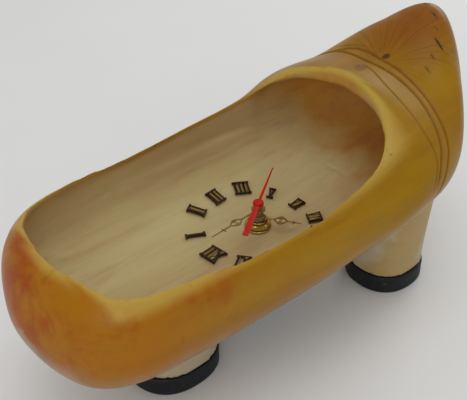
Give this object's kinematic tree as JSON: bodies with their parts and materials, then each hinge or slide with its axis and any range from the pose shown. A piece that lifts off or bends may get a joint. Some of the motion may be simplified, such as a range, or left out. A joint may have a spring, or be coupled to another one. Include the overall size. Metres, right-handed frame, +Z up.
{
  "type": "clog clock",
  "caption": "Carved wooden clog on three rubber-tipped legs, with a quartz clock movement, numerals and hands set in its insole.",
  "frame": {"origin": "on the ground plane under the middle of the clog's length and width", "axes": "+X to the toe, +Y to the wearer's left, +Z up"},
  "size_m": [0.2698, 0.118, 0.1324],
  "materials": {
    "varnished_wood": "glossy amber varnish outside, bare pale wood inside and below",
    "black_rubber": "satin",
    "screw_steel": "satin",
    "numeral_lacquer": "dark lacquer, gilt edges",
    "brass": "polished",
    "case_plastic": "moulded, fine texture",
    "board_laminate": "green laminate",
    "chip_resin": "black resin",
    "stator_iron": "rolled sheet",
    "copper_wire": "enamelled copper wire",
    "battery_jacket": "plain printed jacket without marks",
    "gear_plastic": "moulded acetal",
    "knob_plastic": "moulded",
    "gilt_brass": "gilt, polished",
    "red_paint": "gloss red"
  },
  "bodies": {
    "clog": {"clog_body": "varnished_wood", "rubber_tip_heel": "black_rubber", "tip_screw_heel": "screw_steel", "rubber_tip_front_left": "black_rubber", "tip_screw_front_left": "screw_steel", "rubber_tip_front_right": "black_rubber", "tip_screw_front_right": "screw_steel", "numeral_01": "numeral_lacquer", "numeral_02": "numeral_lacquer", "numeral_03": "numeral_lacquer", "numeral_04": "numeral_lacquer", "numeral_05": "numeral_lacquer", "numeral_06": "numeral_lacquer", "numeral_07": "numeral_lacquer", "numeral_08": "numeral_lacquer", "numeral_09": "numeral_lacquer", "numeral_10": "numeral_lacquer", "numeral_11": "numeral_lacquer", "numeral_12": "numeral_lacquer", "movement_gasket": "black_rubber", "threaded_bush": "brass", "brass_washer": "brass", "brass_nut": "brass", "movement_front_case": "case_plastic", "movement_back_cover": "case_plastic", "train_plate": "case_plastic", "circuit_board": "board_laminate", "chip": "chip_resin", "quartz_crystal": "screw_steel", "stator": "stator_iron", "coil_bobbin": "gear_plastic", "coil_winding": "copper_wire", "battery": "battery_jacket", "battery_contact_negative": "brass", "battery_contact_positive": "brass"},
    "second_arbor": {"second_wheel": "gear_plastic", "second_hand": "red_paint"},
    "intermediate_arbor": {"intermediate_wheel": "gear_plastic"},
    "rotor_arbor": {"rotor": "gear_plastic"},
    "third_arbor": {"third_wheel": "gear_plastic"},
    "centre_wheel_body": {"centre_wheel": "gear_plastic"},
    "minute_motion": {"minute_tube": "brass", "minute_hand": "gilt_brass"},
    "minute_wheel_body": {"minute_wheel": "gear_plastic"},
    "hour_motion": {"hour_wheel": "gear_plastic", "hour_hand": "gilt_brass"},
    "setting_knob": {"time_set_knob": "knob_plastic"}
  },
  "joints": [
    {"name": "second_hand_spin", "type": "hinge", "parent": "clog", "child": "second_arbor", "pos_m": [-0.0074, 0, 0.045], "axis": [0, 0, -1], "continuous": true},
    {"name": "intermediate_spin", "type": "hinge", "parent": "clog", "child": "intermediate_arbor", "pos_m": [-0.0039, 0.00606, 0.045], "axis": [0, 0, -1], "continuous": true},
    {"name": "rotor_spin", "type": "hinge", "parent": "clog", "child": "rotor_arbor", "pos_m": [0.0021, 0.00606, 0.045], "axis": [0, 0, -1], "continuous": true},
    {"name": "third_spin", "type": "hinge", "parent": "clog", "child": "third_arbor", "pos_m": [-0.01586, -0.00308, 0.045], "axis": [0, 0, -1], "continuous": true},
    {"name": "centre_spin", "type": "hinge", "parent": "clog", "child": "centre_wheel_body", "pos_m": [-0.0074, 0, 0.045], "axis": [0, 0, -1], "continuous": true},
    {"name": "minute_hand_spin", "type": "hinge", "parent": "clog", "child": "minute_motion", "pos_m": [-0.0074, 0, 0.045], "axis": [0, 0, -1], "continuous": true},
    {"name": "minute_wheel_spin", "type": "hinge", "parent": "clog", "child": "minute_wheel_body", "pos_m": [-0.00174, -0.00566, 0.045], "axis": [0, 0, -1], "continuous": true},
    {"name": "hour_hand_spin", "type": "hinge", "parent": "clog", "child": "hour_motion", "pos_m": [-0.0074, 0, 0.045], "axis": [0, 0, -1], "continuous": true},
    {"name": "setting_spin", "type": "hinge", "parent": "clog", "child": "setting_knob", "pos_m": [-0.00174, -0.01566, 0.045], "axis": [0, 0, -1], "continuous": true}
  ],
  "couplings": [
    {"joint": "intermediate_spin", "follows": "second_hand_spin", "ratio": -6},
    {"joint": "rotor_spin", "follows": "second_hand_spin", "ratio": 30},
    {"joint": "third_spin", "follows": "second_hand_spin", "ratio": -0.13333},
    {"joint": "centre_spin", "follows": "second_hand_spin", "ratio": 0.016667},
    {"joint": "minute_wheel_spin", "follows": "minute_hand_spin", "ratio": -0.33333},
    {"joint": "hour_hand_spin", "follows": "minute_hand_spin", "ratio": 0.083333},
    {"joint": "setting_spin", "follows": "minute_hand_spin", "ratio": 0.5}
  ]
}
